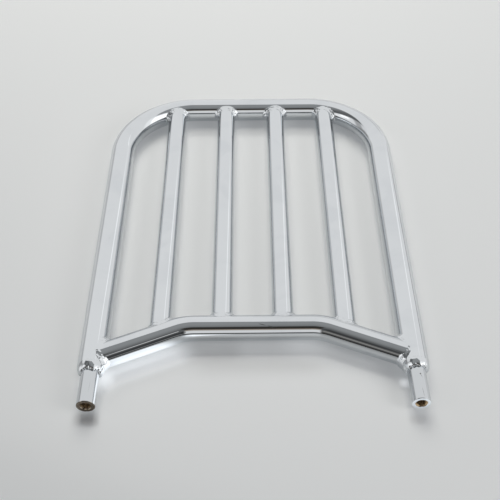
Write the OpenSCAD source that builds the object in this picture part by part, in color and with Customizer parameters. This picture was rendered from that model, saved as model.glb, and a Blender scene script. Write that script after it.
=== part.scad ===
// Welded tubular luggage rack, lying flat.
// X runs across the rack, Y from the threaded stubs towards the rear bar, Z up.
// The origin is on the ground, under the middle of the rack.

/* [Hoop] */
// Overall width over the two legs
rack_w = 250; // [220:1:300]
// Leg length, from the rear bar's centre line to the cut end of the tube
leg_l = 294; // [284:1:360]
// Outside diameter of the hoop tube
hoop_d = 20; // [19.5:0.5:25]
// Wall of the hoop tube
hoop_wall = 2; // [1.5:0.1:2.5]
// Bend radius of the two rear corners, at the tube's centre line
corner_r = 62; // [50:1:70]

/* [Slats] */
// From a leg's centre line to the centre line of the outer slat next to it
side_gap = 46.75; // [42:0.25:56]
// Outside diameter of a slat
slat_d = 16; // [12:0.5:17]
// Wall of a slat
slat_wall = 1.5; // [1:0.1:2]

/* [Crossbar] */
// Outside diameter of the crossbar tube
cross_d = 19; // [16:0.5:19]
// Wall of the crossbar tube
cross_wall = 2; // [1.5:0.1:2.5]
// From the legs' cut ends back to the centre line of the crossbar's straight middle
cross_in = 34; // [32:0.5:80]
// Width of the straight middle, between the two points where the centre lines meet
cross_flat = 102; // [96:1:112]
// Angle by which each end of the crossbar leans towards the stubs
cross_angle = 22.8; // [10:0.2:24]
// Bend radius of the crossbar, at its centre line
cross_bend_r = 40; // [25:1:50]
// How much fuller a bend is than the straights, on the tube's radius
bend_swell = 0.05; // [0.04:0.01:0.2]

/* [Stubs] */
// Diameter of the part of a stub that stands out of the leg
stub_d = 13.2; // [12.4:0.1:15]
// Length of the part of a stub that stands out of the leg
stub_l = 32.5; // [22:0.5:60]
// Length of the shank that sits inside the leg
shank_l = 18; // [10:0.5:30]
// Play between the shank and the bore of the leg, on the radius
shank_play = 0.05; // [0.02:0.01:0.2]
// Bevel round the outer end of a stub
stub_bevel = 0.5; // [0.2:0.1:1]
// Drilled diameter of the threaded hole
tap_d = 6.8; // [5:0.1:8.5]
// Depth of the threaded hole, without its drill point
tap_depth = 26; // [16:0.5:40]
// Diameter of the countersink at the mouth of the threaded hole
sink_d = 8.8; // [8.6:0.1:10]
// Angle of the drill point at the bottom of the hole
drill_point = 118; // [90:1:140]

/* [Welds] */
// Reach of the weld beads along the tubes of a joint at the rear bar
rear_bead = 4; // [2:0.5:5]
// Reach of the weld beads where the slats meet the crossbar
front_bead = 2.5; // [1.5:0.5:3.5]
// Reach of the weld beads where the crossbar meets the legs
leg_bead = 4; // [2:0.5:5]
// Length of the ring weld between a leg's end and its stub, along the stub
ring_l = 6.5; // [4:0.5:9]
// How far the ring weld's foot stands in from the outside of the leg
ring_step = 0.2; // [0.1:0.1:1]

/* [Hidden] */
// Extra length that makes a cut run clean through
over = 1;
// How far a straight of the crossbar runs on into the fuller bend
lap = 0.5;
// Sides used to draw a round tube, and to draw a whole turn of a bend
tube_fn = 48;
sweep_fn = 96;
// Steps in the rounded outline of a weld bead
bead_steps = 3;
LEFT = -1;
RIGHT = 1;
chrome = [0.80, 0.82, 0.84];
weld_chrome = [0.86, 0.88, 0.90];

hoop_r = hoop_d / 2;
slat_r = slat_d / 2;
cross_r = cross_d / 2;
stub_r = stub_d / 2;
bore_r = hoop_r - hoop_wall;
shank_r = bore_r - shank_play;
// Centre height of every tube above the ground
mid_z = hoop_r;
// Half the distance between the legs' centre lines
leg_x = rack_w / 2 - hoop_r;
// The rear bar's place leaves the origin halfway along the rack
rear_y = (leg_l + stub_l - hoop_r) / 2;
leg_end_y = rear_y - leg_l;
stub_end_y = leg_end_y - stub_l;
corner_y = rear_y - corner_r;
rear_half = leg_x - corner_r;
cross_y = leg_end_y + cross_in;
cross_half = cross_flat / 2;
// Length taken off each straight by the bend between them
bend_cut = cross_bend_r * tan(cross_angle / 2);
// Length of a crossbar end from the bend point to the middle of the leg
cross_end_l = (leg_x - cross_half) / cos(cross_angle);

// The four slats stand at even steps between the two outer ones
slat_pitch = 2 * (leg_x - side_gap) / 3;

// Centre line of slat number i, counted from the left
function slat_x(i) = (i - 2.5) * slat_pitch;

// How far the hoop's centre line has curved away from the rear bar at half-width x
function curve_in(x) = corner_r - sqrt(pow(corner_r, 2) - pow(max(0, x - rear_half), 2));

// How far the crossbar's centre line has leant towards the stubs at half-width x
function lean(x) = max(0, x - cross_half) * tan(cross_angle);

// A slat starts on the crossbar's centre line, measured at the slat's outer side
function slat_start(i) = cross_y - lean(abs(slat_x(i)) + slat_r);

// A slat ends on the hoop's centre line, measured at the slat's own centre line
function slat_end(i) = rear_y - curve_in(abs(slat_x(i)));

// A straight round bar from the origin along +Y
module bar_y(r, l) {
    rotate([-90, 0, 0]) cylinder(r = r, h = l, $fn = tube_fn);
}

// A quarter of a ring that joins a straight along Y to a straight along X
module corner(r) {
    rotate_extrude(angle = 90, $fn = sweep_fn) translate([corner_r, 0]) circle(r = r, $fn = tube_fn);
}

// The solid shape that the hoop tube follows, at radius r
module hoop_form(r, end_extra) {
    translate([0, 0, mid_z]) {
        for (side = [LEFT, RIGHT])
            translate([side * leg_x, leg_end_y - end_extra, 0])
                bar_y(r, corner_y - leg_end_y + end_extra);
        translate([rear_half, corner_y, 0]) corner(r);
        translate([-rear_half, corner_y, 0]) rotate([0, 0, 90]) corner(r);
        translate([-rear_half, rear_y, 0]) rotate([0, 90, 0])
            cylinder(r = r, h = 2 * rear_half, $fn = tube_fn);
    }
}

// One leg of the hoop as a solid bar that runs on past its cut end
module leg_bar(side, r) {
    translate([side * leg_x, stub_end_y, mid_z]) bar_y(r, corner_y - stub_end_y);
}

// Mirrors its children to the left, or leaves them on the right
module on_side(side) {
    mirror([side == LEFT ? 1 : 0, 0, 0]) children();
}

// Moves its children to the centre of the right-hand bend
module at_bend() {
    translate([cross_half - bend_cut, cross_y - cross_bend_r, mid_z]) children();
}

// Moves its children to the end of the right-hand bend, where +X runs along the crossbar
module at_bend_end() {
    at_bend() rotate([0, 0, -cross_angle]) translate([0, cross_bend_r, 0]) children();
}

// The right-hand bend of the crossbar, from the middle straight to the leaning end
module cross_bend(r) {
    at_bend() rotate([0, 0, 90 - cross_angle]) rotate_extrude(angle = cross_angle, $fn = sweep_fn)
        translate([cross_bend_r, 0]) circle(r = r, $fn = tube_fn);
}

// The solid shape that the crossbar tube follows, at radius r
module crossbar_form(r) {
    translate([-cross_half + bend_cut - lap, cross_y, mid_z]) rotate([0, 90, 0])
        cylinder(r = r, h = 2 * (cross_half - bend_cut + lap), $fn = tube_fn);
    for (side = [LEFT, RIGHT])
        on_side(side) {
            cross_bend(r + bend_swell);
            at_bend_end() translate([-lap, 0, 0]) rotate([0, 90, 0])
                cylinder(r = r, h = cross_end_l - bend_cut + lap, $fn = tube_fn);
        }
}

// The round bar that a slat's tube follows, at radius r
module slat_bar(i, r) {
    translate([slat_x(i), slat_start(i), mid_z]) bar_y(r, slat_end(i) - slat_start(i));
}

module hoop() {
    color(chrome) difference() {
        hoop_form(hoop_r, 0);
        hoop_form(bore_r, over);
    }
}

module crossbar() {
    color(chrome) difference() {
        crossbar_form(cross_r);
        crossbar_form(cross_r - cross_wall);
        for (side = [LEFT, RIGHT]) leg_bar(side, hoop_r);
    }
}

// A slat is cut to the round of the rear bar and of the crossbar
module slat(i) {
    color(chrome) difference() {
        slat_bar(i, slat_r);
        slat_bar(i, slat_r - slat_wall);
        hoop_form(hoop_r, 0);
        crossbar_form(cross_r);
    }
}

// A turned plug: a shank in the leg's bore, a shoulder at the leg's end and a bored nose
module stub(side) {
    hole_r = tap_d / 2;
    sink_r = sink_d / 2;
    point_l = hole_r / tan(drill_point / 2);
    color(chrome) translate([side * leg_x, stub_end_y, mid_z]) rotate([-90, 0, 0])
        rotate_extrude($fn = tube_fn) polygon([
            [sink_r, 0],
            [stub_r - stub_bevel, 0],
            [stub_r, stub_bevel],
            [stub_r, stub_l],
            [shank_r, stub_l],
            [shank_r, stub_l + shank_l],
            [0, stub_l + shank_l],
            [0, tap_depth + point_l],
            [hole_r, tap_depth],
            [hole_r, sink_r - hole_r]
        ]);
}

// A collar round a branch tube that runs from the origin along +Z. It is widest at the tube
// that the branch is cut to, and rounds off to nothing at its toe.
module collar(branch_r, reach, toe) {
    rotate_extrude($fn = tube_fn) polygon(concat(
        [[0, 0], [branch_r + reach, 0]],
        [for (k = [0:bead_steps])
            let (a = 90 * k / bead_steps)
            [branch_r + reach * cos(a), toe - reach + reach * sin(a)]],
        [[0, toe]]
    ));
}

// The bead round a slat's rear end fills what lies between the bar and a copy of the bar
// that is moved along the slat by the reach of the bead
module rear_bead_at(i) {
    toe = hoop_r + curve_in(abs(slat_x(i)) + slat_r) + rear_bead;
    color(weld_chrome) difference() {
        intersection() {
            translate([slat_x(i), rear_y, mid_z]) rotate([90, 0, 0]) collar(slat_r, rear_bead, toe);
            translate([0, -rear_bead, 0]) hoop_form(hoop_r, 0);
        }
        hoop_form(hoop_r, 0);
        slat_bar(i, slat_r);
    }
}

// The bead round a slat's front end, made the same way from the crossbar
module front_bead_at(i) {
    x = abs(slat_x(i));
    tilt = x > cross_half ? cross_angle : 0;
    toe_y = cross_y - lean(x - slat_r) + cross_r / cos(tilt) + front_bead;
    color(weld_chrome) difference() {
        intersection() {
            translate([slat_x(i), slat_start(i), mid_z]) rotate([-90, 0, 0])
                collar(slat_r, front_bead, toe_y - slat_start(i));
            translate([0, front_bead, 0]) crossbar_form(cross_r);
        }
        crossbar_form(cross_r);
        slat_bar(i, slat_r);
    }
}

// The ring weld between a leg's end face and its stub
module ring_weld_form(side) {
    foot_r = hoop_r - ring_step;
    rise = foot_r - stub_r;
    steps = 2 * bead_steps;
    translate([side * leg_x, leg_end_y, mid_z]) rotate([90, 0, 0])
        rotate_extrude($fn = tube_fn) polygon(concat(
            [[stub_r, 0]],
            [for (k = [0:steps])
                let (a = 90 * k / steps)
                [stub_r + rise * cos(a), ring_l * sin(a)]]
        ));
}

module ring_weld(side) {
    color(weld_chrome) ring_weld_form(side);
}

// The bead where an end of the crossbar meets a leg, made the same way from the leg
module crossbar_bead(side) {
    toe = hoop_r / cos(cross_angle) + cross_r * tan(cross_angle) + leg_bead;
    color(weld_chrome) difference() {
        intersection() {
            on_side(side) at_bend_end() translate([cross_end_l - bend_cut, 0, 0])
                rotate([0, -90, 0]) collar(cross_r, leg_bead, toe);
            translate([-side * leg_bead, 0, 0]) leg_bar(side, hoop_r);
        }
        leg_bar(side, hoop_r);
        crossbar_form(cross_r);
    }
}

hoop();
crossbar();
slat(1);  // slat_1
slat(2);  // slat_2
slat(3);  // slat_3
slat(4);  // slat_4
stub(LEFT);  // stub_left
stub(RIGHT);  // stub_right
rear_bead_at(1);  // weld_slat_1_rear
rear_bead_at(2);  // weld_slat_2_rear
rear_bead_at(3);  // weld_slat_3_rear
rear_bead_at(4);  // weld_slat_4_rear
front_bead_at(1);  // weld_slat_1_front
front_bead_at(2);  // weld_slat_2_front
front_bead_at(3);  // weld_slat_3_front
front_bead_at(4);  // weld_slat_4_front
crossbar_bead(LEFT);  // weld_crossbar_left
crossbar_bead(RIGHT);  // weld_crossbar_right
ring_weld(LEFT);  // weld_stub_left
ring_weld(RIGHT);  // weld_stub_right
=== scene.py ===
import logging
import math
from dataclasses import dataclass, field
from enum import Enum
from typing import Callable, ClassVar

import bmesh
import bpy
from bmesh.types import BMEdge, BMesh, BMVert
from bpy.types import Material, Node, NodeSocket, NodeTree, Object
from mathutils import Matrix, Vector, noise


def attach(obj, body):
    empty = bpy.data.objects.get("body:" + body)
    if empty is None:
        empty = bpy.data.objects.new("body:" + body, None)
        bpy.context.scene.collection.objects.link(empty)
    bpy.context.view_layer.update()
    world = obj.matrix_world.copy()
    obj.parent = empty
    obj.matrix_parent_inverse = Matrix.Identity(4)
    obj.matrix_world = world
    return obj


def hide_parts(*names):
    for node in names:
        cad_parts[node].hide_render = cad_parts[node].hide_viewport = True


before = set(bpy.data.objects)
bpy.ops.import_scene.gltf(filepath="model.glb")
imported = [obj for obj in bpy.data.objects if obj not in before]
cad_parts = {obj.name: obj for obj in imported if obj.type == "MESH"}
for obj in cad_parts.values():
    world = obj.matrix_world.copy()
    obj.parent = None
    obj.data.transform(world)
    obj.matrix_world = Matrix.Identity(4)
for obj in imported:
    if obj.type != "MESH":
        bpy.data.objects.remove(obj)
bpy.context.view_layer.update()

logging.basicConfig(level=logging.INFO, format="%(message)s")
LOG = logging.getLogger("rack")

MM = 0.001
BODY = "root"
CHROME_SLOT = "chrome"
BEAD_SLOT = "weld_bead"
UP = Vector((0, 0, 1))
REARWARD = Vector((0, 1, 0))
MERGE_GAP = 0.0004 * MM
BOX_GAP = 0.02 * MM


class Side(Enum):
    """Which side of the rack a piece is on."""

    LEFT = -1
    RIGHT = 1

    @property
    def word(self) -> str:
        """The side's name in small letters, as the pieces' names hold it."""
        return self.name.lower()


class BeadPlace(Enum):
    """Which end of a slat a bead goes round."""

    REAR = "rear"
    FRONT = "front"


def clamp(value: float, low: float = 0.0, high: float = 1.0) -> float:
    """Keeps a value between two bounds."""
    return min(max(value, low), high)


def edges_of(verts: list[BMVert]) -> list[BMEdge]:
    """The edges at some vertices, each once and always in the same order."""
    return list(dict.fromkeys(edge for vert in verts for edge in vert.link_edges))


@dataclass(frozen=True)
class RackSizes:
    """The rack's own sizes, in metres, as the CAD model has them."""

    width: float = 250 * MM
    leg_length: float = 294 * MM
    hoop_radius: float = 10 * MM
    hoop_wall: float = 2 * MM
    corner_radius: float = 62 * MM
    side_gap: float = 46.75 * MM
    slat_radius: float = 8 * MM
    slat_wall: float = 1.5 * MM
    cross_radius: float = 9.5 * MM
    cross_wall: float = 2 * MM
    cross_in: float = 34 * MM
    cross_flat: float = 102 * MM
    cross_angle: float = math.radians(22.8)
    cross_bend_radius: float = 40 * MM
    stub_radius: float = 6.6 * MM
    stub_length: float = 32.5 * MM
    shank_length: float = 18 * MM
    shank_play: float = 0.05 * MM

    @property
    def mid_z(self) -> float:
        """Height of every tube's centre line above the floor."""
        return self.hoop_radius

    @property
    def leg_x(self) -> float:
        """Half the distance between the legs' centre lines."""
        return self.width / 2 - self.hoop_radius

    @property
    def rear_y(self) -> float:
        """Place of the rear bar's centre line."""
        return (self.leg_length + self.stub_length - self.hoop_radius) / 2

    @property
    def leg_end_y(self) -> float:
        """Place of the legs' cut ends."""
        return self.rear_y - self.leg_length

    @property
    def stub_end_y(self) -> float:
        """Place of the stubs' outer faces."""
        return self.leg_end_y - self.stub_length

    @property
    def corner_y(self) -> float:
        """Where the legs end and the corners start."""
        return self.rear_y - self.corner_radius

    @property
    def rear_half(self) -> float:
        """Half the length of the rear bar's straight."""
        return self.leg_x - self.corner_radius

    @property
    def cross_y(self) -> float:
        """Place of the centre line of the crossbar's straight middle."""
        return self.leg_end_y + self.cross_in

    @property
    def cross_half(self) -> float:
        """Half the width of the crossbar's middle, to the points where the lines meet."""
        return self.cross_flat / 2

    @property
    def bend_cut(self) -> float:
        """Length that a bend of the crossbar takes off each straight."""
        return self.cross_bend_radius * math.tan(self.cross_angle / 2)

    @property
    def cross_end(self) -> float:
        """Length of a crossbar end, from the bend point to the leg's centre line."""
        return (self.leg_x - self.cross_half) / math.cos(self.cross_angle)

    @property
    def cross_end_y(self) -> float:
        """Where the crossbar's line meets the legs' lines."""
        return self.cross_y - (self.leg_x - self.cross_half) * math.tan(self.cross_angle)

    def slat_x(self, number: int) -> float:
        """Place across the rack of a slat's centre line. Number 1 is at the left."""
        pitch = 2 * (self.leg_x - self.side_gap) / 3
        return (number - 2.5) * pitch


SIZES = RackSizes()


class CentreLine:
    """A tube's centre line, which tells how far a point is from it."""

    probe: float = 0.01 * MM
    slide_limit: float = 60 * MM
    halvings: int = 40
    pulls: int = 3

    def distance(self, point: Vector) -> float:
        """Distance in metres from a point in the rack's frame to the line."""
        raise NotImplementedError

    def outward(self, point: Vector) -> Vector:
        """Direction in which the distance grows fastest.

        Args:
            point: A point in the rack's frame.

        Returns:
            A unit vector.
        """
        grown = [
            self.distance(point + axis * self.probe) - self.distance(point - axis * self.probe)
            for axis in Matrix.Identity(3)
        ]
        return Vector(grown).normalized()

    def slide_to(self, point: Vector, direction: Vector, radius: float) -> Vector:
        """Moves a point along a direction until it lies on a tube round this line.

        Args:
            point: The start, inside the tube.
            direction: Unit vector that leads out of the tube.
            radius: The tube's outside radius.

        Returns:
            The point on the tube.
        """
        near, far = 0.0, self.slide_limit
        for _ in range(self.halvings):
            middle = (near + far) / 2
            if self.distance(point + direction * middle) < radius:
                near = middle
            else:
                far = middle
        return point + direction * near

    def drop_to(self, point: Vector, radius: float) -> Vector:
        """Moves a point straight towards or away from the line, onto a tube round it.

        Args:
            point: Any point near the tube.
            radius: The tube's outside radius.

        Returns:
            The nearest point on the tube.
        """
        place = point.copy()
        for _ in range(self.pulls):
            place -= self.outward(place) * (self.distance(place) - radius)
        return place


class HoopLine(CentreLine):
    """The hoop's line: two legs, two corners and the rear bar."""

    corner_lean: float = 0.2

    def distance(self, point: Vector) -> float:
        """Distance to the nearest of the leg, corner or rear bar beside the point.

        Args:
            point: A point in the rack's frame.

        Returns:
            The distance. In front of the corners, a line that leans outwards by corner_lean
            parts the points that belong to a leg from those of the rear bar.
        """
        across, height = abs(point.x), point.z - SIZES.mid_z
        if across > SIZES.rear_half and point.y > SIZES.corner_y:
            reach = math.hypot(across - SIZES.rear_half, point.y - SIZES.corner_y)
            return math.hypot(reach - SIZES.corner_radius, height)
        if across > SIZES.rear_half + (SIZES.corner_y - point.y) * self.corner_lean:
            return math.hypot(across - SIZES.leg_x, height)
        return math.hypot(point.y - SIZES.rear_y, height)


class LegLine(CentreLine):
    """The line of the leg that a point is nearer to."""

    def distance(self, point: Vector) -> float:
        """Distance to the leg's line."""
        return math.hypot(abs(point.x) - SIZES.leg_x, point.z - SIZES.mid_z)


class CrossbarLine(CentreLine):
    """The crossbar's line: a straight middle, two bends and two leaning ends."""

    def distance(self, point: Vector) -> float:
        """Distance to the middle, bend or leaning end beside the point.

        Args:
            point: A point in the rack's frame.

        Returns:
            The distance.
        """
        height = point.z - SIZES.mid_z
        start = SIZES.cross_half - SIZES.bend_cut
        across = abs(point.x) - start
        back = point.y - SIZES.cross_y
        if across <= 0:
            return math.hypot(back, height)
        down = SIZES.cross_bend_radius + back
        turned = math.atan2(across, down)
        if turned < SIZES.cross_angle:
            reach = math.hypot(across, down)
            return math.hypot(reach - SIZES.cross_bend_radius, height)
        sine, cosine = math.sin(SIZES.cross_angle), math.cos(SIZES.cross_angle)
        reach = across * sine + down * cosine
        return math.hypot(reach - SIZES.cross_bend_radius, height)


HOOP_LINE = HoopLine()
LEG_LINE = LegLine()
CROSS_LINE = CrossbarLine()


@dataclass
class TubeWall:
    """A round wall that is drawn by pushing a ring of edges along straights and bends."""

    mesh: BMesh
    radius: float
    sides: int
    edges: list[BMEdge] = field(default_factory=list)
    first: list[BMEdge] = field(default_factory=list)
    heading: Vector = field(default_factory=REARWARD.copy)

    def start(self, place: Vector, heading: Vector) -> None:
        """Makes the first ring.

        Args:
            place: The ring's centre.
            heading: Unit vector along the tube, in the plane of the rack.
        """
        self.heading = heading.normalized()
        turn = self.heading.to_track_quat("Z", "Y").to_matrix().to_4x4()
        ring = bmesh.ops.create_circle(
            self.mesh,
            segments=self.sides,
            radius=self.radius,
            matrix=Matrix.Translation(place) @ turn,
        )
        self.edges = edges_of(ring["verts"])
        self.first = list(self.edges)

    def straight(self, length: float, steps: int = 1) -> None:
        """Pushes the ring straight on.

        Args:
            length: How far it goes.
            steps: How many rings that takes.
        """
        for _ in range(steps):
            made = bmesh.ops.extrude_edge_only(self.mesh, edges=self.edges)["geom"]
            verts = [g for g in made if isinstance(g, BMVert)]
            self.edges = [g for g in made if isinstance(g, BMEdge)]
            bmesh.ops.translate(self.mesh, verts=verts, vec=self.heading * length / steps)

    def bend(self, centre: Vector, angle: float, steps: int) -> None:
        """Turns the ring about an upright axis.

        Args:
            centre: A point on the axis.
            angle: How far it turns, in radians, anticlockwise seen from above.
            steps: How many rings that takes.
        """
        made = bmesh.ops.spin(
            self.mesh,
            geom=self.edges,
            cent=centre,
            axis=(0, 0, 1),
            angle=angle,
            steps=steps,
            use_merge=False,
        )["geom_last"]
        self.edges = [g for g in made if isinstance(g, BMEdge)]
        self.heading = Matrix.Rotation(angle, 3, "Z") @ self.heading

    @staticmethod
    def ring_verts(edges: list[BMEdge]) -> list[BMVert]:
        """The vertices of a ring of edges."""
        return list(dict.fromkeys(vert for edge in edges for vert in edge.verts))


def spin_sections(
    mesh: BMesh,
    count: int,
    steps: int,
    section: Callable[[float], list[Vector]],
) -> None:
    """Spins a loop into a closed ring and moves each slice of it into its place.

    The loop starts as a unit circle, far enough from the axis not to touch itself.

    Args:
        mesh: The empty mesh to draw in.
        count: Points in a slice.
        steps: Slices round the ring.
        section: Gives a slice's points for its angle round the ring, in radians.
    """
    layer = mesh.verts.layers.int.new("slice_point")
    ring = bmesh.ops.create_circle(
        mesh, segments=count, radius=1.0, matrix=Matrix.Translation((4.0, 0, 0))
    )["verts"]
    for k, vert in enumerate(ring):
        vert[layer] = k
    bmesh.ops.spin(
        mesh,
        geom=list(ring) + edges_of(ring),
        cent=(0, 0, 0),
        axis=(0, 1, 0),
        angle=2 * math.pi,
        steps=steps,
        use_merge=True,
    )
    slices = [section(2 * math.pi * k / steps) for k in range(steps)]
    for vert in mesh.verts:
        turn = math.atan2(vert.co.z, vert.co.x)
        step = round(turn / (2 * math.pi) * steps) % steps
        vert.co = slices[step][vert[layer]]
    mesh.verts.layers.int.remove(layer)


def place_object(name: str, data: bpy.types.ID) -> Object:
    """Puts a mesh, lamp or camera into the scene.

    Args:
        name: The new object's name.
        data: What it holds.

    Returns:
        The object.
    """
    made = bpy.data.objects.new(name, data)
    bpy.context.scene.collection.objects.link(made)
    return made


class Piece:
    """A finished piece of the rack, made from a bmesh."""

    def __init__(self, name: str, slot: str) -> None:
        """Starts an empty piece.

        Args:
            name: The piece's name.
            slot: The name of a material slot in the record. Not used.
        """
        self.name = name
        self.slot = slot
        self.mesh = bmesh.new()

    def finish(
        self,
        material: Material,
        nodes: tuple[str, ...],
        sharp: float = math.radians(38),
    ) -> Object:
        """Closes the bmesh into an object that rides on the rack.

        Args:
            material: The piece's finish.
            nodes: The CAD nodes that it stands for.
            sharp: Edges that turn more than this stay crisp.

        Returns:
            The new object.
        """
        bmesh.ops.remove_doubles(self.mesh, verts=self.mesh.verts, dist=MERGE_GAP)
        bmesh.ops.recalc_face_normals(self.mesh, faces=self.mesh.faces)
        data = bpy.data.meshes.new(self.name)
        self.mesh.to_mesh(data)
        self.mesh.free()
        data.shade_smooth()
        data.set_sharp_from_angle(angle=sharp)
        data.materials.append(material)
        piece = place_object(self.name, data)
        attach(piece, BODY)
        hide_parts(*nodes)
        LOG.info("%s: %d faces", self.name, len(data.polygons))
        return piece


class Tube:
    """A tube with two cut ends, drawn as an outside and a bore."""

    node: str
    radius: float
    thickness: float

    def wall(self, mesh: BMesh, radius: float) -> TubeWall:
        """Draws one wall of the tube at a given radius."""
        raise NotImplementedError

    def build(self, material: Material) -> Object:
        """Draws both walls and closes the two cut ends.

        Args:
            material: The plating.

        Returns:
            The tube's object.
        """
        piece = Piece(f"{self.node}_tube", CHROME_SLOT)
        outer = self.wall(piece.mesh, self.radius)
        inner = self.wall(piece.mesh, self.radius - self.thickness)
        bmesh.ops.bridge_loops(piece.mesh, edges=outer.first + inner.first)
        bmesh.ops.bridge_loops(piece.mesh, edges=outer.edges + inner.edges)
        return piece.finish(material, (self.node,))


@dataclass
class Hoop(Tube):
    """The bent tube with the two legs, two corners and the rear bar."""

    node: ClassVar[str] = "hoop"
    radius: float = SIZES.hoop_radius
    thickness: float = SIZES.hoop_wall
    sides: int = 96
    corner_steps: int = 48
    leg_steps: int = 12
    rear_steps: int = 6

    def wall(self, mesh: BMesh, radius: float) -> TubeWall:
        """Draws one wall of the tube from the left leg's end to the right one's.

        Args:
            mesh: The mesh to draw in.
            radius: The wall's radius.

        Returns:
            The wall, with its first and last ring.
        """
        leg = SIZES.corner_y - SIZES.leg_end_y
        run = TubeWall(mesh, radius, self.sides)
        run.start(Vector((-SIZES.leg_x, SIZES.leg_end_y, SIZES.mid_z)), REARWARD)
        run.straight(leg, self.leg_steps)
        run.bend(Vector((-SIZES.rear_half, SIZES.corner_y, 0)), -math.pi / 2, self.corner_steps)
        run.straight(2 * SIZES.rear_half, self.rear_steps)
        run.bend(Vector((SIZES.rear_half, SIZES.corner_y, 0)), -math.pi / 2, self.corner_steps)
        run.straight(leg, self.leg_steps)
        return run


@dataclass
class Crossbar(Tube):
    """The bowed tube between the legs, cut to the round of the legs at both ends."""

    node: ClassVar[str] = "crossbar"
    radius: float = SIZES.cross_radius
    thickness: float = SIZES.cross_wall
    sides: int = 96
    bend_steps: int = 20
    end_steps: int = 4
    middle_steps: int = 4

    def wall(self, mesh: BMesh, radius: float) -> TubeWall:
        """Draws one wall of the tube, from the left leg to the right one.

        Args:
            mesh: The mesh to draw in.
            radius: The wall's radius.

        Returns:
            The wall, with its ends cut to the legs.
        """
        angle = SIZES.cross_angle
        end = SIZES.cross_end - SIZES.bend_cut
        start = SIZES.cross_half - SIZES.bend_cut
        centre_y = SIZES.cross_y - SIZES.cross_bend_radius
        run = TubeWall(mesh, radius, self.sides)
        heading = Vector((math.cos(angle), math.sin(angle), 0))
        run.start(Vector((-SIZES.leg_x, SIZES.cross_end_y, SIZES.mid_z)), heading)
        run.straight(end, self.end_steps)
        run.bend(Vector((-start, centre_y, 0)), -angle, self.bend_steps)
        run.straight(2 * start, self.middle_steps)
        run.bend(Vector((start, centre_y, 0)), -angle, self.bend_steps)
        run.straight(end, self.end_steps)
        for edges, inward in ((run.first, heading), (run.edges, -run.heading)):
            for vert in run.ring_verts(edges):
                vert.co = LEG_LINE.slide_to(vert.co, inward, SIZES.hoop_radius)
        return run


@dataclass
class Slat(Tube):
    """A straight tube along the rack, cut to the crossbar in front and the hoop behind."""

    number: int
    radius: float = SIZES.slat_radius
    thickness: float = SIZES.slat_wall
    sides: int = 96
    steps: int = 10
    search_step: ClassVar[float] = 0.2 * MM
    search_half: ClassVar[int] = 150

    @property
    def node(self) -> str:
        """The CAD node that the slat stands for."""
        return f"slat_{self.number}"

    def wall(self, mesh: BMesh, radius: float) -> TubeWall:
        """Draws one wall of the tube, from the crossbar to the hoop.

        Args:
            mesh: The mesh to draw in.
            radius: The wall's radius.

        Returns:
            The wall, with its ends cut to the two tubes that it meets.
        """
        across = SIZES.slat_x(self.number)
        run = TubeWall(mesh, radius, self.sides)
        front = self.root(CROSS_LINE, across, SIZES.cross_y)
        rear = self.root(HOOP_LINE, across, SIZES.rear_y)
        run.start(front, REARWARD)
        run.straight(rear.y - front.y, self.steps)
        for vert in run.ring_verts(run.first):
            vert.co = CROSS_LINE.slide_to(vert.co, REARWARD, SIZES.cross_radius)
        for vert in run.ring_verts(run.edges):
            vert.co = HOOP_LINE.slide_to(vert.co, -REARWARD, SIZES.hoop_radius)
        return run

    @classmethod
    def root(cls, line: CentreLine, across: float, near: float) -> Vector:
        """The point of a centre line that lies on the slat's own line.

        Args:
            line: The centre line of the tube that the slat meets.
            across: The slat's place across the rack.
            near: A place along the rack close to the point.

        Returns:
            The point.
        """
        points = [
            Vector((across, near + k * cls.search_step, SIZES.mid_z))
            for k in range(-cls.search_half, cls.search_half)
        ]
        return min(points, key=line.distance)


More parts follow.
